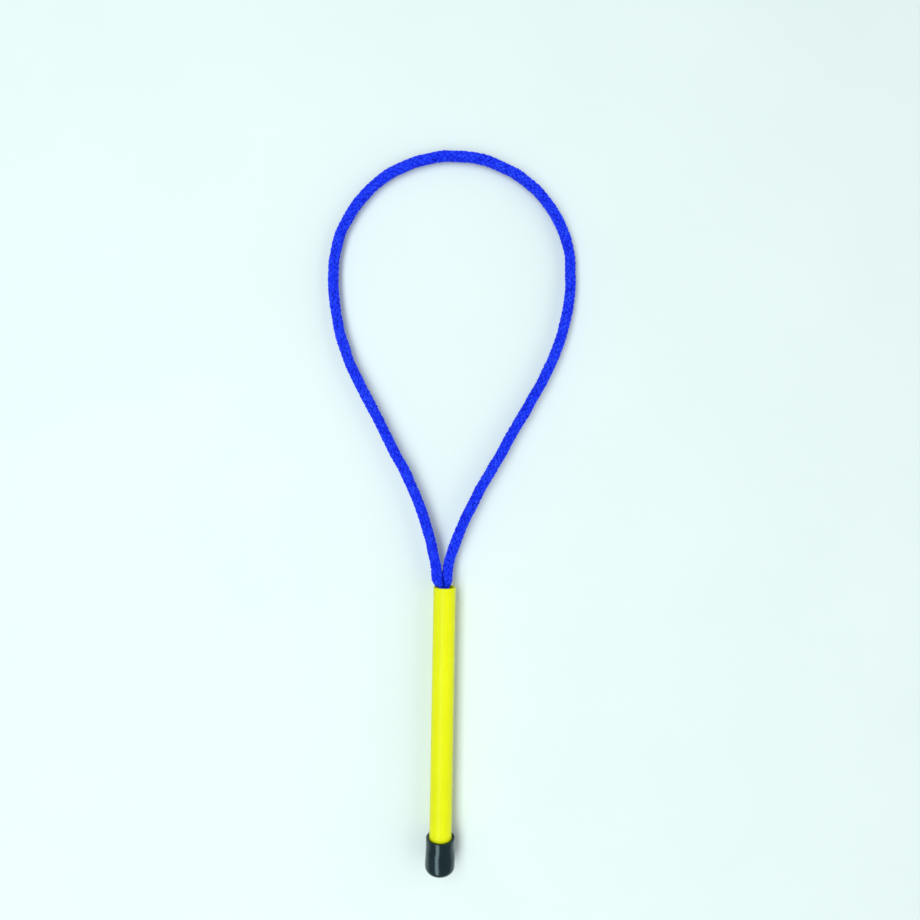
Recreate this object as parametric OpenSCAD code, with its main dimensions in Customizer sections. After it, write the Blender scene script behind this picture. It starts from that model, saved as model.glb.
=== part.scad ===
// Bubble wand: a braided cord with a wire in its middle is bent into a teardrop loop, and its two
// tails are squeezed into the mouth of a round tube, the handle, which ends in a push-on cap.
// The wand lies on z = 0 with the handle along Y and the loop towards +Y, and the origin is below
// the middle of its length.

/* [Handle tube] */
// Outside diameter of the tube
tube_od = 10; // [8:0.5:13]
// Wall thickness of the tube
tube_wall = 0.8; // [0.6:0.1:1.5]
// Length of the tube from end to end
tube_l = 126.5; // [90:0.5:250]
// Chamfer on the edges of both tube ends
tube_edge = 0.2; // [0.1:0.05:0.25]

/* [End cap] */
// Length of the cap over all
cap_l = 15.5; // [14.5:0.5:30]
// Wall thickness of the cap at its rim
cap_wall = 1.4; // [0.7:0.1:2]
// Thickness of the closed end
cap_floor = 1.6; // [1:0.1:3]
// How much the closed half stands out past the rim, measured on the radius
cap_swell = 0.3; // [0.1:0.05:0.6]
// Length of the straight band at the rim
cap_rim_l = 3.4; // [1:0.2:4]
// Length of the smooth swell between the rim and the closed half
cap_swell_l = 6; // [4:0.5:7]
// Rounding of the edge round the closed end
cap_round = 3; // [1:0.25:3]
// Chamfer on the two edges of the rim
cap_edge = 0.2; // [0.1:0.05:0.3]

/* [Loop] */
// Radius of the crown, to the middle of the cord
crown_r = 54; // [46:1:70]
// Radius of each flank below the crown, to the middle of the cord
flank_r = 104; // [80:1:150]
// Angle between each straight run and the handle
flank_angle = 28.5; // [24:0.5:33]
// Radius of each throat bend, the gentle one below a straight run, to the middle of the cord
throat_r = 175; // [120:1:200]
// Angle between each leg and the handle where its throat bend starts
neck_angle = 15; // [12:0.5:20]
// Radius of the two neck bends, where the legs part, to the middle of the cord
neck_r = 30; // [20:1:45]
// Height over the mouth at which the neck bends start
neck_h = 3.5; // [1:0.5:6]

/* [Cord and wire] */
// Diameter of the braided cord
cord_d = 5.2; // [4:0.1:6.5]
// Length of the cord's tails inside the tube
cord_tail = 40; // [20:1:45]
// Height over the mouth at which the tube starts to squeeze the cord
squeeze_h = 4; // [2:0.5:5]
// Diameter of the wire in the middle of the cord
wire_d = 2; // [1.2:0.1:2.4]
// Length of the wire's tails inside the tube
wire_tail = 55; // [50:1:70]

/* [Glue] */
// Depth inside the tube at which the set glue starts
glue_depth = 8; // [4:0.5:15]
// Thickness of glue past the ends of the wire
glue_cover = 5; // [2:0.5:10]

/* [Fits] */
// Clearance round the tube inside the cap
cap_fit = 0.05; // [0.02:0.01:0.1]
// Clearance between the bore of the tube and what fills it
bore_fit = 0.05; // [0.02:0.01:0.1]
// Clearance round the wire
wire_fit = 0.1; // [0.05:0.01:0.2]
// Clearance between the cord's tails and the glue
glue_fit = 0.05; // [0.02:0.01:0.1]
// Gap between the two legs of the cord where they press on each other
leg_gap = 0.1; // [0.05:0.01:0.2]

/* [Hidden] */
$fn = 72;

// Colours of the pieces
tube_colour = "#e4ea20";
cap_colour = "#20292d";
cord_colour = "#1e3ced";
wire_colour = "#b8bcc2";
glue_colour = "#ece5cf";

// Length by which a cut runs past the face that it opens
overrun = 1;

// Length by which a lapped bend or tail runs into the lengths that it joins, and how much thinner it is
bend_lap = 0.5;
bend_ease = 0.02;

// Distance of each leg's middle from the handle's axis, as a share of the filled bore's radius
leg_share = 0.45;

// Radii of the tube, of what fills its bore, and of the cap
tube_r = tube_od / 2;
bore_r = tube_r - tube_wall;
fill_r = bore_r - bore_fit;
cap_bore_r = tube_r + cap_fit;
cap_rim_r = cap_bore_r + cap_wall;
cap_r = cap_rim_r + cap_swell;

// Heights along the cap, from its closed end to its rim
cap_swell_top = cap_l - cap_rim_l;
cap_swell_foot = cap_swell_top - cap_swell_l;
cap_swell_mid = cap_swell_top - cap_swell_l / 2;
// Radius of the two equal arcs that make up the swell
cap_swell_r = (cap_swell_l * cap_swell_l + cap_swell * cap_swell) / (4 * cap_swell);

// Radii of the cord, of the channel along its middle, and of the wire
cord_r = cord_d / 2;
wire_r = wire_d / 2;
channel_r = wire_r + wire_fit;

// Route of the loop in its own plane: x across, y up from the mouth of the tube
tail_x = leg_share * fill_r;
neck_x = tail_x + neck_r;
throat_x = neck_x + (throat_r - neck_r) * cos(neck_angle);
throat_y = neck_h - (throat_r - neck_r) * sin(neck_angle);
throat_top_x = throat_x - throat_r * cos(flank_angle);
throat_top_y = throat_y + throat_r * sin(flank_angle);
flank_x = crown_r - flank_r;
flank_end_x = flank_x + flank_r * cos(flank_angle);
run_l = (flank_end_x - throat_top_x) / sin(flank_angle);
flank_end_y = throat_top_y + run_l * cos(flank_angle);
crown_y = flank_end_y + flank_r * sin(flank_angle);
loop_l = crown_y + crown_r;

// The handle lies on the cap, and the loop is set down so that its crown touches the same surface
axis_z = cap_r;
loop_set = asin((axis_z - cord_r) / loop_l);
part_l = cap_floor + tube_l + loop_l * cos(loop_set) + cord_r;
cap_y = -part_l / 2;
tube_y = cap_y + cap_floor;
mouth_y = tube_y + tube_l;

// Outer edge of a leg at the height where the squeeze starts, and the cone that squeezes it
squeeze_rise = max(0, squeeze_h - neck_h);
squeeze_r = neck_x - sqrt(pow(neck_r - cord_r, 2) - pow(squeeze_rise, 2));
squeeze_slope = (squeeze_r - fill_r) / squeeze_h;
squeeze_top = squeeze_h + overrun;
squeeze_top_r = fill_r + squeeze_slope * squeeze_top;

// Places a shape that is drawn upright on the handle's axis, with its foot at the given y
module on_handle(foot_y) {
    translate([0, foot_y, axis_z])
        rotate([-90, 0, 0])
            children();
}

// Places a shape that is drawn in the loop's own plane
module in_loop() {
    translate([0, mouth_y, axis_z])
        rotate([-loop_set, 0, 0])
            children();
}

// Draws a shape and its mirror image across the handle
module both_sides() {
    children();
    mirror([1, 0, 0])
        children();
}

// Carries a section round part of a circle, from the +X side of its centre
module bend(radius, angle) {
    rotate_extrude(angle = angle)
        translate([radius, 0])
            children();
}

// Carries a section round a bend and a little past both its ends, into the lengths that it joins
module lapped_bend(radius, angle) {
    lap_angle = bend_lap / radius * 180 / PI;
    rotate([0, 0, -lap_angle])
        bend(radius, angle + 2 * lap_angle)
            children();
}

// Carries a section straight down a tail, from a little past the foot of its neck bend to the given
// depth inside the tube
module tail(depth) {
    top_y = neck_h + bend_lap;
    translate([tail_x, top_y, 0])
        rotate([90, 0, 0])
            linear_extrude(top_y + depth)
                children();
}

// Carries a section round the crown of the loop
module crown() {
    translate([0, crown_y, 0])
        bend(crown_r, 180)
            children();
}

// Carries a section down one side of the loop: the straight run and the neck bend take the first child,
// and the flank, throat bend and tail that lap into them take the second, a slightly thinner one
module side(tail_depth) {
    translate([flank_x, crown_y, 0])
        rotate([0, 0, -flank_angle])
            lapped_bend(flank_r, flank_angle)
                children(1);
    translate([flank_end_x, flank_end_y, 0])
        rotate([90, 0, -flank_angle])
            linear_extrude(run_l)
                children(0);
    translate([throat_x, throat_y, 0])
        rotate([0, 0, 180 - flank_angle])
            lapped_bend(throat_r, flank_angle - neck_angle)
                children(1);
    translate([neck_x, neck_h, 0])
        rotate([0, 0, 180 - neck_angle])
            bend(neck_r, neck_angle)
                children(0);
    tail(tail_depth)
        children(1);
}

// Section of the braided cord, hollow round its wire, with its wall thinned by ease on both sides
module cord_section(ease) {
    difference() {
        circle(cord_r - ease);
        circle(channel_r + ease);
    }
}

// What the tube's mouth presses away from the two legs: a cone above it and the bore's wall below
module squeeze_die() {
    foot = -cord_tail - overrun;
    outer_r = squeeze_top_r + cord_d;
    rotate_extrude()
        polygon([
            [fill_r, foot],
            [fill_r, 0],
            [squeeze_top_r, squeeze_top],
            [outer_r, squeeze_top],
            [outer_r, foot],
        ]);
}

// What a leg loses where it is pressed flat against the other one, with half the gap between them
module leg_flat() {
    cut_w = cord_d + overrun;
    foot = -cord_tail - overrun;
    translate([leg_gap / 2 - cut_w, foot, -cord_r - overrun])
        cube([cut_w, throat_top_y - foot, cord_d + 2 * overrun]);
}

// Half section of the cap's outside, from its closed end up
module cap_outline() {
    intersection() {
        union() {
            square([cap_r - cap_round, cap_round]);
            translate([cap_r - cap_round, cap_round])
                circle(cap_round);
        }
        square([cap_r, 2 * cap_round]);
    }
    translate([0, cap_round])
        square([cap_r, cap_swell_foot - cap_round]);
    intersection() {
        translate([cap_r - cap_swell_r, cap_swell_foot])
            circle(cap_swell_r);
        translate([0, cap_swell_foot])
            square([cap_r, cap_swell_l / 2]);
    }
    difference() {
        translate([0, cap_swell_mid])
            square([cap_r, cap_swell_l / 2]);
        translate([cap_rim_r + cap_swell_r, cap_swell_top])
            circle(cap_swell_r);
    }
    polygon([
        [0, cap_swell_top],
        [cap_rim_r, cap_swell_top],
        [cap_rim_r, cap_l - cap_edge],
        [cap_rim_r - cap_edge, cap_l],
        [0, cap_l],
    ]);
}

// Half section of the pocket that takes the tube, with a chamfer at its rim
module cap_pocket() {
    polygon([
        [0, cap_floor],
        [cap_bore_r, cap_floor],
        [cap_bore_r, cap_l - cap_edge],
        [cap_bore_r + cap_edge, cap_l],
        [cap_bore_r + cap_edge, cap_l + overrun],
        [0, cap_l + overrun],
    ]);
}

// Round tube that is the handle
module handle_tube() {
    color(tube_colour)
        on_handle(tube_y)
            rotate_extrude()
                polygon([
                    [bore_r + tube_edge, 0],
                    [tube_r - tube_edge, 0],
                    [tube_r, tube_edge],
                    [tube_r, tube_l - tube_edge],
                    [tube_r - tube_edge, tube_l],
                    [bore_r + tube_edge, tube_l],
                    [bore_r, tube_l - tube_edge],
                    [bore_r, tube_edge],
                ]);
}

// Soft cap pushed over the lower end of the tube until the tube meets its floor
module end_cap() {
    color(cap_colour)
        on_handle(cap_y)
            rotate_extrude()
                difference() {
                    cap_outline();
                    cap_pocket();
                }
}

// Braided cord of the loop, with its legs pressed flat on each other where they enter the tube
module loop_cord() {
    color(cord_colour)
        difference() {
            in_loop() {
                crown()
                    cord_section(0);
                both_sides()
                    difference() {
                        side(cord_tail) {
                            cord_section(0);
                            cord_section(bend_ease);
                        }
                        leg_flat();
                    }
            }
            on_handle(mouth_y)
                squeeze_die();
        }
}

// Wire that runs through the cord and holds the loop in shape
module core_wire() {
    color(wire_colour)
        in_loop() {
            crown()
                circle(wire_r);
            both_sides()
                side(wire_tail) {
                    circle(wire_r);
                    circle(wire_r - bend_ease);
                }
        }
}

// Set glue that fills the bore round the tails and past the ends of the wire
module glue_plug() {
    glue_end = wire_tail + glue_cover;
    glue_l = glue_end - glue_depth;
    color(glue_colour)
        difference() {
            on_handle(mouth_y - glue_end)
                cylinder(h = glue_l, r = fill_r);
            in_loop()
                both_sides() {
                    tail(cord_tail + glue_fit)
                        circle(cord_r + glue_fit);
                    tail(wire_tail + wire_fit)
                        circle(channel_r);
                }
        }
}

handle_tube();
end_cap();
loop_cord();
core_wire();
glue_plug();
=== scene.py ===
# Bubble wand seen from above: a blue braided loop, a yellow tube for a handle and a black push-on cap.
import math

import bpy
import numpy as np
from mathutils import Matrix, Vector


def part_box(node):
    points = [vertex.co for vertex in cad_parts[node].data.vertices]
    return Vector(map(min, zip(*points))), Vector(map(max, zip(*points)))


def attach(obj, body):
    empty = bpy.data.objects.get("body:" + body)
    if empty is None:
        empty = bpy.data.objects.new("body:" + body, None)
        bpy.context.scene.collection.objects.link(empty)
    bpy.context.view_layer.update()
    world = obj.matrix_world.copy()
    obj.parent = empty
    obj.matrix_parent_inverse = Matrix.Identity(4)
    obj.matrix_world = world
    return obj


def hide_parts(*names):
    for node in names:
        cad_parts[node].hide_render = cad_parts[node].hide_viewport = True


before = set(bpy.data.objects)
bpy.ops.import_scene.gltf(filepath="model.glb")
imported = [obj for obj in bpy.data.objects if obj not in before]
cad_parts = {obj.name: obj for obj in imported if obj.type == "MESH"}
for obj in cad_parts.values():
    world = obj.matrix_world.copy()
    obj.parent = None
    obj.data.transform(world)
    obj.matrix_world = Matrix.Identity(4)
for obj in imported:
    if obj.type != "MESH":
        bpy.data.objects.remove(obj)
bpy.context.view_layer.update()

MM = 0.001

# Sizes repeated from the part's source, in metres
CROWN_R = 54 * MM
FLANK_R = 104 * MM
FLANK_ANGLE = math.radians(28.5)
THROAT_R = 175 * MM
NECK_ANGLE = math.radians(15)
NECK_R = 30 * MM
NECK_H = 3.5 * MM
CORD_R = 2.6 * MM
CORD_TAIL = 40 * MM
WIRE_R = 1 * MM
WIRE_TAIL = 55 * MM
LEG_GAP = 0.1 * MM
LEG_SHARE = 0.45
BORE_FIT = 0.05 * MM
TUBE_WALL = 0.8 * MM
CAP_FIT = 0.05 * MM
CAP_WALL = 1.4 * MM
CAP_FLOOR = 1.6 * MM
CAP_RIM_L = 3.4 * MM
CAP_SWELL_L = 6 * MM
CAP_ROUND = 3 * MM

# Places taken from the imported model
TUBE_LOW, TUBE_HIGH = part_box("handle_tube")
CAP_LOW, CAP_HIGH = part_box("end_cap")
_, LOOP_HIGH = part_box("loop_cord")
TUBE_R = (TUBE_HIGH.x - TUBE_LOW.x) / 2
AXIS_Z = (TUBE_HIGH.z + TUBE_LOW.z) / 2
MOUTH_Y = TUBE_HIGH.y
CAP_R = (CAP_HIGH.x - CAP_LOW.x) / 2
BORE_R = TUBE_R - TUBE_WALL
FILL_R = BORE_R - BORE_FIT
LOOP_L = math.hypot(LOOP_HIGH.y - CORD_R - MOUTH_Y, AXIS_Z - CORD_R)
LOOP_SET = math.asin((AXIS_Z - CORD_R) / LOOP_L)

# Braid: strands that turn each way, yarns side by side in each strand, and the length of one turn
STRANDS = 6
ENDS = 2
TURN_L = 16 * MM
# Yarn: width and thickness, corners round it, and the length of a step along the cord
YARN_W = 0.9 * MM
YARN_T = 0.68 * MM
YARN_SIDES = 6
RING_STEP = 0.41 * MM
# How close the yarns of a strand lie, and how far the yarns nearest its middle stand out
STRAND_SHARE = 0.9
STRAND_CROWN = 0.08 * MM
# Radius that the highest yarns reach, a little inside the solid's
BRAID_INSET = 0.1 * MM
BRAID_R = CORD_R - BRAID_INSET
# How far a strand swings in and out as it passes over and under, and how square the swing is
SWING_SHARE = 0.8
SWING = SWING_SHARE * YARN_T
SWING_SQUARE = 0.7
# Length in which the braid itself turns once round the cord
BRAID_TURN_L = 310 * MM
# Unevenness: of each yarn's height and angle, of the cord's thickness, and of its line
YARN_STRAY = 0.05 * MM
YARN_SLANT = 0.05
CORD_LUMPS = 0.014
CORD_WANDER = 0.08 * MM
# The longest and the shortest waves of each of these, in the same order
STRAY_WAVES = (9 * MM, 3 * MM)
SLANT_WAVES = (14 * MM, 5 * MM)
LUMP_WAVES = (30 * MM, 7 * MM)
WANDER_WAVES = (45 * MM, 12 * MM)
# Metres by which the pattern on each yarn is moved on from its neighbour's, so that no two look alike
YARN_SHIFT = 0.37
# Margins of a yarn's strip in the map for baking, as shares: at its ends and at its edges
BAKE_END = 0.01
BAKE_EDGE = 0.06
# Sleeve under the braid: corners round it, length of a step, and the height and number of its ridges
CORE_SIDES = 16
CORE_STEP = 2.2 * MM
CORE_RIDGE = 0.12 * MM
CORE_RIDGES = 8
# Wire: corners round it, length of a step, and the broken edge of its cut ends
WIRE_SIDES = 12
WIRE_STEP = 2 * MM
WIRE_EDGE = 0.2 * MM

# Turned pieces: segments round them, and steps in a broken edge and in the cap's foot and swell
ROUND_SEGMENTS = 128
EDGE_STEPS = 4
FOOT_STEPS = 10
SWELL_STEPS = 12
# Longest step along the tube and the cap, and the broken edges of the tube's ends and the cap's rim
TUBE_STEP = 2 * MM
CAP_STEP = 0.5 * MM
TUBE_EDGE = 0.25 * MM
CAP_LIP = 0.3 * MM
# How far the tube is from round, and how fast its oval turns along it, in radians a metre
TUBE_OVAL = 0.02 * MM
OVAL_TWIST = 9
# Shallow dents of the dipped cap: half of their depth, their number round it, how far they sway and how
# many waves of that there are, and how much faster than the cap's length they die out at the rim
DENT_HALF = 0.06 * MM
DENTS = 3
DENT_SWAY = 0.5
SWAY_WAVES = 1.5
DENT_FADE = 1.02

# Slight lean of the loop to one side, as it was bent by hand
LOOP_LEAN = math.radians(0.4)
# How the two legs lie at the mouth: turned round each other, spread, and moved aside and down
LEG_TURN = math.radians(28)
LEG_SPREAD = 0.8 * MM
LEG_ASIDE = -1.4 * MM
LEG_DROP = -0.4 * MM
# Heights over the mouth at which the turn and the shift have died out, and the depth below it
TURN_EASE = 28 * MM
ASIDE_EASE = 60 * MM
LEG_SINK = 8 * MM
# How far the plane between the legs is moved aside at the mouth, and the height at which that dies out
LEG_PART = 0.8 * MM
PART_EASE = 6 * MM
# How much a leg can swell towards the other one at the mouth, and the height at which that dies out
LEG_FILL = 0.35
FILL_EASE = 8 * MM
# The ring that the mouth squeezes the pair into: its radius and middle, how far up it reaches, how
# much it has widened there, and how much of the widening goes to one side
SQUEEZE_R = 2.95 * MM
SQUEEZE_ASIDE = -0.6 * MM
SQUEEZE_DROP = -0.9 * MM
SQUEEZE_H = 9 * MM
SQUEEZE_BULGE = 3.2 * MM
BULGE_ASIDE = -0.45
# Radius that the pair fills deep in the bore, with room for its unevenness
PAIR_INSET = 0.15 * MM
PAIR_R = FILL_R - PAIR_INSET
# Least distance from the middle of a leg to that ring and to the other leg, so that the wire is covered
RING_SPARE = 0.5 * MM
LEG_SPARE = 0.1 * MM
RING_COVER = WIRE_R + RING_SPARE
LEG_COVER = WIRE_R + LEG_SPARE
# Steps in which the loop's route is worked out
ROUTE_STEPS = 20000
# A length and a share too small to matter, and a length that limits nothing
NO_LENGTH = 1e-9
NO_SHARE = 1e-6
NO_LIMIT = 1

# All that is random comes from this one seed
SEED = 7
rng = np.random.default_rng(SEED)


def mesh_piece(name, points, faces, material, body, replaced):
    """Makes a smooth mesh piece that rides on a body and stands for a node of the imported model."""
    mesh = bpy.data.meshes.new(name)
    mesh.from_pydata(points, [], faces)
    mesh.polygons.foreach_set("use_smooth", np.ones(len(mesh.polygons), bool))
    mesh.materials.append(material)
    piece = bpy.data.objects.new(name, mesh)
    bpy.context.scene.collection.objects.link(piece)
    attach(piece, body)
    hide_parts(replaced)
    return piece


# Materials
class Nodes:
    """A material's node tree, with short calls for the nodes that the materials below use."""

    def __init__(self, name):
        self.material = bpy.data.materials.new(name)
        self.material.use_nodes = True
        self.tree = self.material.node_tree
        self.shader = self.tree.nodes["Principled BSDF"]

    def add(self, kind, **inputs):
        """A new node with its inputs set or linked; an underscore stands for a space in a name."""
        node = self.tree.nodes.new("ShaderNode" + kind)
        for key, value in inputs.items():
            self.set(node.inputs[key.replace("_", " ")], value)
        return node

    def set(self, socket, value):
        """Links an output to a socket, or gives the socket a plain value."""
        if isinstance(value, bpy.types.NodeSocket):
            self.tree.links.new(value, socket)
        else:
            socket.default_value = value

    def place(self, scale=(1, 1, 1)):
        """Coordinates fixed to the piece, in metres times the scale."""
        coords = self.add("TexCoord")
        return self.add("Mapping", Vector=coords.outputs["Object"], Scale=scale).outputs[0]

    def map_place(self, name, scale):
        """Coordinates of a named UV map, times the scale."""
        coords = self.add("UVMap")
        coords.uv_map = name
        return self.add("Mapping", Vector=coords.outputs[0], Scale=scale).outputs[0]

    def noise(self, vector, scale, detail=3, roughness=0.5):
        """A soft random pattern round 0.5."""
        return self.add(
            "TexNoise", Vector=vector, Scale=scale, Detail=detail, Roughness=roughness
        ).outputs["Fac"]

    def spread(self, value, low, high, start=0.3, end=0.7):
        """Maps a pattern's values from start to end onto low to high."""
        node = self.add("MapRange", Value=value)
        node.inputs["From Min"].default_value = start
        node.inputs["From Max"].default_value = end
        node.inputs["To Min"].default_value = low
        node.inputs["To Max"].default_value = high
        return node.outputs[0]

    def ramp(self, value, *stops):
        """Colours along a pattern: each stop is (place, (red, green, blue))."""
        node = self.add("ValToRGB", Fac=value)
        steps = node.color_ramp.elements
        while len(steps) < len(stops):
            steps.new(0.5)
        for step, (at, colour) in zip(steps, stops):
            step.position = at
            step.color = (*colour, 1)
        return node.outputs["Color"]

    def mix(self, factor, one, other):
        """One colour at factor 0 and the other at 1. The node's colour sockets go by their numbers."""
        first_colour, second_colour, mixed_colour = 6, 7, 2
        node = self.add("Mix")
        node.data_type = "RGBA"
        self.set(node.inputs[0], factor)
        self.set(node.inputs[first_colour], one)
        self.set(node.inputs[second_colour], other)
        return node.outputs[mixed_colour]

    def math(self, kind, one, other):
        """A sum, product or the like of two values."""
        node = self.add("Math")
        node.operation = kind
        self.set(node.inputs[0], one)
        self.set(node.inputs[1], other)
        return node.outputs[0]

    def bump(self, height, depth, under=None):
        """A relief of the given depth, on top of another one if there is one."""
        node = self.add("Bump", Height=height, Distance=depth)
        if under is not None:
            self.set(node.inputs["Normal"], under)
        return node.outputs[0]

    def finish(self, **inputs):
        """Sets or links the shader's inputs and gives the material."""
        for key, value in inputs.items():
            self.set(self.shader.inputs[key.replace("_", " ")], value)
        return self.material


def tube_plastic():
    """Glossy lemon yellow plastic, drawn out lengthwise."""
    n = Nodes("tube_plastic")
    streaks = n.noise(n.place((1400, 9, 1400)), scale=1, detail=4)
    clouds = n.noise(n.place(), scale=45, detail=3)
    scuffs = n.noise(n.place((2600, 260, 2600)), scale=1, detail=2)
    pattern = n.math("ADD", n.math("MULTIPLY", streaks, 0.5), n.math("MULTIPLY", clouds, 0.5))
    colour = n.ramp(
        pattern,
        (0.35, (0.66, 0.67, 0.003)),
        (0.65, (0.72, 0.75, 0.005)),
    )
    gloss = n.spread(n.math("MAXIMUM", streaks, scuffs), low=0.3, high=0.46)
    surface = n.bump(streaks, depth=0.012 * MM)
    return n.finish(
        Base_Color=colour,
        Roughness=gloss,
        Normal=surface,
        Specular_IOR_Level=0.14,
        Subsurface_Weight=0.3,
        Subsurface_Radius=(1, 0.95, 0.1),
        Subsurface_Scale=3 * MM,
    )


def cap_vinyl():
    """Shiny black dipped vinyl with a faint ripple."""
    n = Nodes("cap_vinyl")
    ripple = n.noise(n.place(), scale=330, detail=2)
    specks = n.noise(n.place(), scale=2600, detail=3)
    colour = n.ramp(
        n.noise(n.place(), scale=210, detail=3),
        (0.3, (0.001, 0.007, 0.01)),
        (0.7, (0.002, 0.011, 0.015)),
    )
    gloss = n.spread(specks, low=0.15, high=0.22)
    surface = n.bump(specks, depth=0.006 * MM, under=n.bump(ripple, depth=0.03 * MM))
    return n.finish(
        Base_Color=colour,
        Roughness=gloss,
        Normal=surface,
        Specular_IOR_Level=0.5,
        Specular_Tint=(0.7, 0.96, 1, 1),
    )


def cord_yarn():
    """Royal blue yarn with fine filaments along it, with painted shade where it dips under other yarns.
    """
    n = Nodes("cord_yarn")
    filaments = n.noise(n.map_place("Yarn", (260, 7, 1)), scale=1, detail=2)
    patches = n.noise(n.map_place("Yarn", (420, 1.5, 1)), scale=1, detail=2)
    lift = n.add("Attribute")
    lift.attribute_name = "lift"
    pattern = n.math("ADD", n.math("MULTIPLY", filaments, 0.6), n.math("MULTIPLY", patches, 0.4))
    bright = n.ramp(
        pattern,
        (0.3, (0.0005, 0.006, 0.5)),
        (0.46, (0.003, 0.02, 0.78)),
        (0.6, (0.022, 0.076, 0.94)),
    )
    # Painted shade: the yarn's colour is darkened where it lies low between other yarns, going by the
    # mesh's lift attribute
    painted_groove_shade = (0.0005, 0.004, 0.19, 1)
    out_of_painted_shade = n.spread(lift.outputs["Fac"], low=0, high=1, start=0.3, end=0.85)
    colour = n.mix(out_of_painted_shade, painted_groove_shade, bright)
    gloss = n.spread(filaments, low=0.42, high=0.62)
    surface = n.bump(filaments, depth=0.05 * MM)
    return n.finish(
        Base_Color=colour,
        Roughness=gloss,
        Normal=surface,
        Specular_IOR_Level=0.12,
    )


def wire_steel():
    """Galvanised wire with faint drawing lines."""
    n = Nodes("wire_steel")
    spangle = n.noise(n.place(), scale=900, detail=2)
    lines = n.noise(n.place((5200, 60, 5200)), scale=1, detail=2)
    colour = n.ramp(spangle, (0.35, (0.42, 0.43, 0.45)), (0.65, (0.6, 0.61, 0.63)))
    gloss = n.spread(lines, low=0.28, high=0.5)
    surface = n.bump(lines, depth=0.01 * MM)
    return n.finish(Base_Color=colour, Roughness=gloss, Normal=surface, Metallic=1)


def set_glue():
    """Cream hot-melt glue, cloudy and a little see-through."""
    n = Nodes("set_glue")
    clouds = n.noise(n.place(), scale=420, detail=4)
    colour = n.ramp(clouds, (0.3, (0.7, 0.62, 0.42)), (0.7, (0.84, 0.79, 0.62)))
    gloss = n.spread(clouds, low=0.25, high=0.45)
    return n.finish(
        Base_Color=colour,
        Roughness=gloss,
        Normal=n.bump(clouds, depth=0.05 * MM),
        Subsurface_Weight=0.3,
        Subsurface_Scale=2 * MM,
    )


def floor_paint():
    """Plain pale studio floor with a faint cool tint."""
    n = Nodes("floor_paint")
    mottle = n.noise(n.place(), scale=14, detail=3)
    colour = n.ramp(mottle, (0.3, (0.645, 0.72, 0.705)), (0.7, (0.66, 0.735, 0.72)))
    return n.finish(Base_Color=colour, Roughness=0.6, Specular_IOR_Level=0.2)


# Turned pieces
def arc(centre_r, centre_y, radius, start, end, steps):
    """Points (radius, y) of an arc, with its angles in degrees from the outward direction."""
    angles = np.radians(np.linspace(start, end, steps + 1))
    return [(centre_r + radius * math.cos(a), centre_y + radius * math.sin(a)) for a in angles]


def stretch(start, end, longest):
    """Points between two points, without the ends, none further apart than the longest step."""
    count = math.ceil(math.dist(start, end) / longest)
    return [tuple(np.add(start, np.subtract(end, start) * k / count)) for k in range(1, count)]


def spin(profile, segments, warp):
    """Points and faces of a solid: a closed outline of (radius, y) points spun round the handle's axis.

    The warp gives what is added to the radius at a (radius, y, turn).
    """
    points = []
    rings = []
    for radius, y in profile:
        ring = []
        for k in range(segments if radius > 0 else 1):
            turn = math.tau * k / segments
            r = radius + warp(radius, y, turn) if radius > 0 else 0
            ring.append(len(points))
            points.append((r * math.sin(turn), y, AXIS_Z + r * math.cos(turn)))
        rings.append(ring)
    faces = []
    closing = [] if len(rings[0]) == 1 else [(rings[-1], rings[0])]
    for one, other in [*zip(rings, rings[1:]), *closing]:
        for k in range(segments):
            after = (k + 1) % segments
            corners = [
                one[k % len(one)],
                one[after % len(one)],
                other[after % len(other)],
                other[k % len(other)],
            ]
            faces.append(list(dict.fromkeys(corners)))
    return points, faces


def make_tube(material):
    """Handle tube with softly broken edges at both ends."""
    edge = TUBE_EDGE
    low, high = TUBE_LOW.y, TUBE_HIGH.y
    corners = [
        (TUBE_R - edge, low + edge, -90, 0),
        (TUBE_R - edge, high - edge, 0, 90),
        (BORE_R + edge, high - edge, 90, 180),
        (BORE_R + edge, low + edge, 180, 270),
    ]
    outline = []
    for k, (r, y, start, end) in enumerate(corners):
        outline += arc(r, y, edge, start, end, EDGE_STEPS)
        next_r, next_y, next_start, _ = corners[(k + 1) % len(corners)]
        next_point = arc(next_r, next_y, edge, next_start, next_start, 1)[0]
        outline += stretch(outline[-1], next_point, TUBE_STEP)

    def warp(radius, y, turn):
        oval = TUBE_OVAL * math.cos(2 * turn + OVAL_TWIST * y)
        return oval if radius > BORE_R + 2 * edge else 0

    points, faces = spin(outline, ROUND_SEGMENTS, warp)
    mesh_piece("tube_shell", points, faces, material, "wand", "handle_tube")


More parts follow.
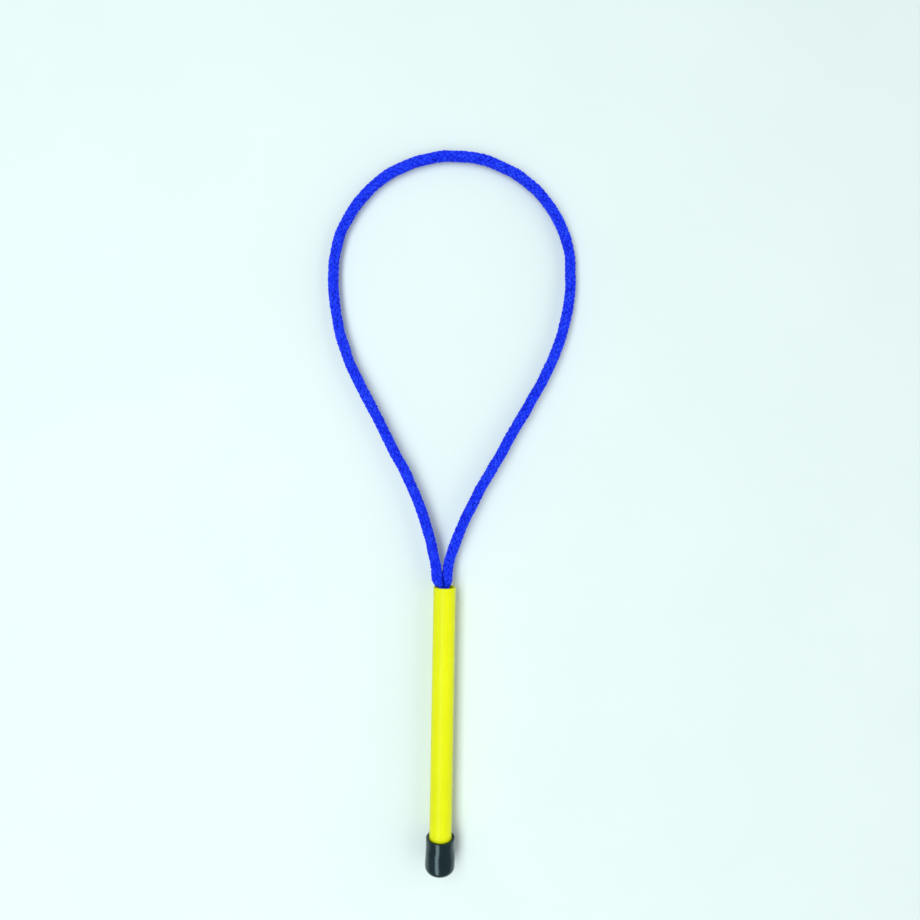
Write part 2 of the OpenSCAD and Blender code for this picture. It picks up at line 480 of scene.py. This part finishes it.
def make_cap(material):
    """Push-on cap: rounded closed end, soft swell up to its rim, and a pocket that takes the tube."""
    lip = CAP_LIP
    foot, rim = CAP_LOW.y, CAP_HIGH.y
    pocket_r = TUBE_R + CAP_FIT
    rim_r = pocket_r + CAP_WALL
    swell_top = rim - CAP_RIM_L
    swell_foot = swell_top - CAP_SWELL_L
    step = CAP_STEP
    outline = [(0, foot)]
    outline += stretch((0, foot), (CAP_R - CAP_ROUND, foot), step)
    outline += arc(CAP_R - CAP_ROUND, foot + CAP_ROUND, CAP_ROUND, -90, 0, FOOT_STEPS)
    outline += stretch(outline[-1], (CAP_R, swell_foot), step)
    for k in range(SWELL_STEPS + 1):
        share = k / SWELL_STEPS
        ease = (1 - math.cos(math.pi * share)) / 2
        outline.append((CAP_R + (rim_r - CAP_R) * ease, swell_foot + CAP_SWELL_L * share))
    outline += stretch(outline[-1], (rim_r, rim - lip), step)
    outline += arc(rim_r - lip, rim - lip, lip, 0, 90, EDGE_STEPS)
    outline += arc(pocket_r + lip, rim - lip, lip, 90, 180, EDGE_STEPS)
    outline += stretch(outline[-1], (pocket_r, foot + CAP_FLOOR), step)
    outline += [(pocket_r, foot + CAP_FLOOR)]
    outline += stretch(outline[-1], (0, foot + CAP_FLOOR), step)
    outline += [(0, foot + CAP_FLOOR)]

    def warp(radius, y, turn):
        if radius < pocket_r + lip or y < foot + CAP_ROUND / 2:
            return 0
        along = (y - foot) / (rim - foot)
        sway = DENT_SWAY * math.sin(math.tau * SWAY_WAVES * along)
        fade = math.sin(math.pi * min(1, along * DENT_FADE))
        return -DENT_HALF * fade * (1 + math.cos(DENTS * turn + DENTS * sway))

    points, faces = spin(outline, ROUND_SEGMENTS, warp)
    mesh_piece("cap_shell", points, faces, material, "cap", "end_cap")


# Loop
def waves(along, longest, shortest, count=6):
    """A smooth uneven line of about unit size, made of a few sine waves."""
    lengths = np.geomspace(longest, shortest, count)
    phases = rng.uniform(0, math.tau, count)
    swell = sum(np.sin(math.tau * along / w + p) for w, p in zip(lengths, phases))
    return swell / math.sqrt(count / 2)


def loop_route():
    """The wire's line in the loop's own plane, in small steps.

    Gives the length along it, its x, y and heading, the cord's thickness there and how far it strays.
    """
    tail_x = LEG_SHARE * FILL_R
    flank_end_x = CROWN_R - FLANK_R * (1 - math.cos(FLANK_ANGLE))
    neck_top_x = tail_x + NECK_R * (1 - math.cos(NECK_ANGLE))
    throat_top_x = neck_top_x + THROAT_R * (math.cos(NECK_ANGLE) - math.cos(FLANK_ANGLE))
    run_l = (flank_end_x - throat_top_x) / math.sin(FLANK_ANGLE)
    half = [
        (WIRE_TAIL + NECK_H, 0),
        (NECK_R * NECK_ANGLE, -1 / NECK_R),
        (THROAT_R * (FLANK_ANGLE - NECK_ANGLE), -1 / THROAT_R),
        (run_l, 0),
        (FLANK_R * FLANK_ANGLE, 1 / FLANK_R),
        (CROWN_R * math.pi / 2, 1 / CROWN_R),
    ]
    bends = half + half[::-1]
    ends = np.cumsum([length for length, _ in bends])
    along = np.linspace(0, ends[-1], ROUTE_STEPS + 1)
    step = along[1]
    middle = (along[:-1] + along[1:]) / 2
    turning = np.array([bend for _, bend in bends])[np.searchsorted(ends, middle)]
    heading = math.pi / 2 + np.concatenate([[0], np.cumsum(turning) * step])
    between = (heading[:-1] + heading[1:]) / 2
    x = tail_x + np.concatenate([[0], np.cumsum(np.cos(between)) * step])
    y = -WIRE_TAIL + np.concatenate([[0], np.cumsum(np.sin(between)) * step])
    lumps = 1 + CORD_LUMPS * waves(along, *LUMP_WAVES)
    wander = CORD_WANDER * waves(along, *WANDER_WAVES)
    return along, x, y, heading, lumps, wander


ROUTE = loop_route()
ROUTE_L = ROUTE[0][-1]
CORD_START = WIRE_TAIL - CORD_TAIL
CORD_END = ROUTE_L - CORD_START
CORD_L = CORD_END - CORD_START


def smooth_fall(value, reach):
    """1 at and below 0, easing to 0 at the reach."""
    share = np.clip(value / reach, 0, 1)
    return 1 - share * share * (3 - 2 * share)


def on_loop(along, out, up):
    """Places points of a straight cord on the loop: lengths along it, and offsets outwards and upwards.

    Near the mouth the two legs lie against each other and inside the tube's bore, so a section is
    drawn in towards its middle as far as the other leg or the mouth asks.
    """
    x, y, heading, lumps, wander = [np.interp(along, ROUTE[0], column) for column in ROUTE[1:]]
    out = out * lumps + wander
    up = up * lumps
    px = x + out * np.sin(heading)
    py = y - out * np.cos(heading)
    # Into the handle's frame, measured from the middle of the mouth
    dip, flat = math.sin(LOOP_SET), math.cos(LOOP_SET)
    points = np.stack([px, py * flat + up * dip, -py * dip + up * flat], axis=-1)
    middles = np.stack([x, y * flat, -y * dip], axis=-1)
    # The legs' own turn and shift
    rise = middles[..., 1].copy()
    sunk = smooth_fall(-rise, LEG_SINK)
    turn = LEG_TURN * smooth_fall(rise, TURN_EASE) * sunk
    leg = np.where(along < ROUTE_L / 2, 1, -1)
    spread = leg * LEG_SPREAD * smooth_fall(rise, TURN_EASE) * sunk
    lean = math.tan(LOOP_LEAN) * np.clip(rise, 0, None)
    aside = LEG_ASIDE * smooth_fall(rise, ASIDE_EASE) * sunk + lean
    drop = LEG_DROP * smooth_fall(rise, TURN_EASE) * sunk
    for place in (points, middles):
        side, height = place[..., 0] + spread, place[..., 2].copy()
        place[..., 0] = side * np.cos(turn) + height * np.sin(turn) + aside
        place[..., 2] = height * np.cos(turn) - side * np.sin(turn) + drop
    # The ring that squeezes the legs, and their middles drawn in so that the cord covers its wire
    bulge = SQUEEZE_BULGE * np.sqrt(np.clip(rise, 0, None) / SQUEEZE_H)
    ring_r = PAIR_R + (SQUEEZE_R - PAIR_R) * sunk + bulge
    ring_x = SQUEEZE_ASIDE * sunk + BULGE_ASIDE * bulge * (1 - np.clip(rise / SQUEEZE_H, 0, 1))
    ring_z = SQUEEZE_DROP * sunk
    squeezed = rise < SQUEEZE_H
    offset = points - middles
    cx, cz = middles[..., 0] - ring_x, middles[..., 2] - ring_z
    pull = np.minimum(1, (ring_r - RING_COVER) / np.maximum(np.hypot(cx, cz), NO_LENGTH))
    pull = np.where(squeezed, pull, 1)
    cx, cz = cx * pull, cz * pull
    middles[..., 0], middles[..., 2] = cx + ring_x, cz + ring_z
    # How far a section reaches each way before it meets the other leg or the squeezing ring
    size = np.hypot(offset[..., 0], offset[..., 2]) + NO_LENGTH
    ux, uz = offset[..., 0] / size, offset[..., 2] / size
    split_x, split_z = np.cos(turn) * leg, -np.sin(turn) * leg
    part = aside + LEG_PART * smooth_fall(rise, PART_EASE) * sunk
    room = (middles[..., 0] - part) * split_x + (middles[..., 2] - drop) * split_z - LEG_GAP / 2
    room = np.maximum(room, LEG_COVER)
    towards = -(ux * split_x + uz * split_z)
    to_leg = np.where(towards > NO_SHARE, room / np.maximum(towards, NO_SHARE), NO_LIMIT)
    across = cx * ux + cz * uz
    reach = across * across + ring_r * ring_r - cx * cx - cz * cz
    to_ring = -across + np.sqrt(np.maximum(reach, 0))
    to_ring = np.where(squeezed, to_ring, NO_LIMIT)
    fill = 1 + LEG_FILL * smooth_fall(rise, FILL_EASE) * sunk * np.clip(towards, 0, 1)
    limit = np.minimum(np.minimum(to_leg, to_ring), CORD_R * fill)
    points = middles + offset * (np.maximum(limit, 0) / CORD_R)[..., None]
    return points + [0, MOUTH_Y, AXIS_Z]


def tube_faces(rings, sides):
    """Quads of a closed tube, ring by ring, and a face over each end."""
    ring = np.arange(rings - 1)[:, None] * sides
    side = np.arange(sides)[None, :]
    after = (side + 1) % sides
    quads = np.stack([ring + side, ring + after, ring + sides + after, ring + sides + side], axis=-1)
    first = list(range(sides))[::-1]
    last = [(rings - 1) * sides + k for k in range(sides)]
    return quads.reshape(-1, 4), first, last


def make_lay(name, way, material):
    """All yarns that turn one way round the cord, as closed tubes in one piece."""
    yarns = STRANDS * ENDS
    rings = round(CORD_L / RING_STEP)
    along = np.linspace(CORD_START, CORD_END, rings)
    section = math.tau * np.arange(YARN_SIDES) / YARN_SIDES
    quads, first, last = tube_faces(rings, YARN_SIDES)
    middle_r = BRAID_R - YARN_T / 2 - SWING
    points, faces, lifts = [], [], []
    for k in range(yarns):
        beside = k % ENDS - (ENDS - 1) / 2
        aside = STRAND_SHARE * beside * math.tau / yarns
        stray = YARN_STRAY * waves(along, *STRAY_WAVES)
        slant = YARN_SLANT * waves(along, *SLANT_WAVES)
        turn = way * math.tau * along / TURN_L + math.tau * (k // ENDS) / STRANDS
        swing = np.cos(STRANDS * (turn + aside / 2))
        swing = way * np.tanh(SWING_SQUARE * swing) / math.tanh(SWING_SQUARE)
        crown = STRAND_CROWN * (1 - abs(beside))
        radius = middle_r + SWING * swing + stray + crown * (swing + 1) / 2
        turn = turn + aside + slant + math.tau * along / BRAID_TURN_L
        line = np.stack([along, radius * np.cos(turn), radius * np.sin(turn)], axis=-1)
        ahead = np.gradient(line, along, axis=0)
        ahead /= np.linalg.norm(ahead, axis=1)[:, None]
        outward = np.stack([np.zeros(rings), np.cos(turn), np.sin(turn)], axis=-1)
        outward -= (outward * ahead).sum(1)[:, None] * ahead
        outward /= np.linalg.norm(outward, axis=1)[:, None]
        sideways = np.cross(ahead, outward)
        skin = (
            line[:, None]
            + YARN_W / 2 * np.cos(section)[None, :, None] * sideways[:, None]
            + YARN_T / 2 * np.sin(section)[None, :, None] * outward[:, None]
        )
        base = len(points) * rings * YARN_SIDES
        points.append(on_loop(skin[..., 0], skin[..., 1], skin[..., 2]).reshape(-1, 3))
        faces += (quads + base).tolist()
        faces += [[v + base for v in first], [v + base for v in last]]
        # How far out each point of a yarn stands, from lowest to highest; the yarn material paints
        # shade where it is low
        depth = np.hypot(skin[..., 1], skin[..., 2])
        lifts.append(((depth - middle_r + SWING) / (BRAID_R - middle_r + SWING)).ravel())
    places = np.concatenate(points).tolist()
    piece = mesh_piece(name, places, faces, material, "wand", "loop_cord")
    lift = piece.data.attributes.new("lift", "FLOAT", "POINT")
    lift.data.foreach_set("value", np.concatenate(lifts).astype(np.float32))
    map_yarns(piece.data, yarns, rings)


def map_yarns(mesh, yarns, rings):
    """Two UV maps: metres along and share round each yarn, and one strip a yarn for baking."""
    per_yarn = rings * YARN_SIDES
    corners = np.empty(len(mesh.loops), np.int32)
    mesh.loops.foreach_get("vertex_index", corners)
    owner = np.repeat(np.arange(len(mesh.polygons)), [p.loop_total for p in mesh.polygons])
    yarn = corners // per_yarn
    ring = corners % per_yarn // YARN_SIDES
    side = corners % YARN_SIDES
    # A face that closes a ring reads the first side's corners as one past the last side
    widest = np.zeros(len(mesh.polygons), np.int32)
    np.maximum.at(widest, owner, side)
    least = np.full(len(mesh.polygons), YARN_SIDES)
    np.minimum.at(least, owner, side)
    closing = (widest == YARN_SIDES - 1) & (least == 0)
    side = np.where(closing[owner] & (side == 0), YARN_SIDES, side)
    along = ring / (rings - 1)
    across = side / YARN_SIDES
    metres = np.stack([along * CORD_L + yarn * YARN_SHIFT, across], axis=-1)
    strip_along = BAKE_END + (1 - 2 * BAKE_END) * along
    strip_across = (yarn + BAKE_EDGE + (1 - 2 * BAKE_EDGE) * across) / yarns
    strips = np.stack([strip_along, strip_across], axis=-1)
    for name, places in (("Yarn", metres), ("OFBake", strips)):
        layer = mesh.uv_layers.new(name=name)
        layer.data.foreach_set("uv", places.astype(np.float32).ravel())


def make_core(material):
    """Straight filler yarns under the braid, as one sleeve round the wire, all in the yarn material's
    painted groove shade.
    """
    rings = round(CORD_L / CORE_STEP)
    along = np.repeat(np.linspace(CORD_START, CORD_END, rings), CORE_SIDES)
    turn = np.tile(math.tau * np.arange(CORE_SIDES) / CORE_SIDES, rings)
    radius = BRAID_R - YARN_T - 2 * SWING + CORE_RIDGE * np.cos(CORE_RIDGES * turn)
    places = on_loop(along, radius * np.cos(turn), -radius * np.sin(turn))
    quads, first, last = tube_faces(rings, CORE_SIDES)
    faces = quads.tolist() + [first, last]
    # The sleeve has no lift attribute, so the yarn material paints all of it in its darkest painted
    # shade
    mesh_piece("loop_core", places.tolist(), faces, material, "wand", "loop_cord")


def make_wire(material):
    """Wire along the middle of the cord, with its cut ends broken a little."""
    rings = round(ROUTE_L / WIRE_STEP)
    along = np.concatenate([[0], np.linspace(WIRE_EDGE, ROUTE_L - WIRE_EDGE, rings), [ROUTE_L]])
    radius = np.full(len(along), WIRE_R)
    radius[[0, -1]] -= WIRE_EDGE
    line = on_loop(along, np.zeros(len(along)), np.zeros(len(along)))
    ahead = np.gradient(line, along, axis=0)
    ahead /= np.linalg.norm(ahead, axis=1)[:, None]
    sideways = np.cross(ahead, [0, 0, 1])
    sideways /= np.linalg.norm(sideways, axis=1)[:, None]
    upward = np.cross(ahead, sideways)
    turn = math.tau * np.arange(WIRE_SIDES) / WIRE_SIDES
    ring = (
        np.cos(turn)[None, :, None] * sideways[:, None]
        + np.sin(turn)[None, :, None] * upward[:, None]
    )
    places = (line[:, None] + radius[:, None, None] * ring).reshape(-1, 3)
    quads, first, last = tube_faces(len(along), WIRE_SIDES)
    faces = quads.tolist() + [first, last]
    mesh_piece("loop_wire", places.tolist(), faces, material, "wand", "core_wire")


def make_floor(material):
    """Wide pale floor just under the wand."""
    # Half its width, in metres, and its height, just low enough not to cut into the pieces
    half = 4
    drop = -0.2 * MM
    mesh = bpy.data.meshes.new("floor")
    corners = [(-half, -half, drop), (half, -half, drop), (half, half, drop), (-half, half, drop)]
    mesh.from_pydata(corners, [], [(0, 1, 2, 3)])
    mesh.materials.append(material)
    floor = bpy.data.objects.new("floor", mesh)
    bpy.context.scene.collection.objects.link(floor)


def make_light(name, place, width, length, power, colour, in_gloss):
    """A softbox that hangs level lengthwise and is tilted sideways to the line under the handle.

    Its place and sides are in metres and its power is in watts. Glossy surfaces mirror it or not.
    """
    lamp = bpy.data.lights.new(name, "AREA")
    lamp.shape = "RECTANGLE"
    lamp.size = width
    lamp.size_y = length
    lamp.energy = power
    lamp.color = colour
    light = bpy.data.objects.new(name, lamp)
    light.location = place
    light.visible_glossy = in_gloss
    light.rotation_euler = (0, math.atan2(place[0], place[2]), 0)
    bpy.context.scene.collection.objects.link(light)


def make_camera():
    """Camera that looks straight down on the wand, as the photograph was taken.

    The picture's width and the focal length are in pixels, and the sensor's width is in millimetres.
    """
    picture = 920
    focal = 650
    sensor = 36
    place = (6 * MM, 22 * MM, 299.4 * MM)
    roll = math.radians(0.96)
    data = bpy.data.cameras.new("camera")
    data.sensor_width = sensor
    data.lens = focal / picture * sensor
    camera = bpy.data.objects.new("camera", data)
    camera.location = place
    camera.rotation_euler = (0, 0, roll)
    bpy.context.scene.collection.objects.link(camera)
    bpy.context.scene.camera = camera


def make_world():
    """Even pale light from all round, and plain colours in the picture."""
    colour = (0.95, 0.98, 1, 1)
    strength = 0.42
    world = bpy.data.worlds.new("studio")
    world.use_nodes = True
    background = world.node_tree.nodes["Background"]
    background.inputs["Color"].default_value = colour
    background.inputs["Strength"].default_value = strength
    bpy.context.scene.world = world
    bpy.context.scene.view_settings.view_transform = "Standard"


make_camera()
make_world()
make_light(
    "key",
    place=(-0.34, -0.3, 0.9),
    width=0.42,
    length=2.2,
    power=13.5,
    colour=(0.92, 1, 1),
    in_gloss=True,
)
make_light(
    "fill",
    place=(0.9, 0, 0.45),
    width=1.1,
    length=1.8,
    power=7,
    colour=(0.97, 1, 1),
    in_gloss=False,
)
make_floor(floor_paint())
yarn_material = cord_yarn()
make_lay("loop_braid_right", 1, yarn_material)
make_lay("loop_braid_left", -1, yarn_material)
make_core(yarn_material)
make_wire(wire_steel())
make_tube(tube_plastic())
make_cap(cap_vinyl())
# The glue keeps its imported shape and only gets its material
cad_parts["glue_plug"].material_slots[0].material = set_glue()
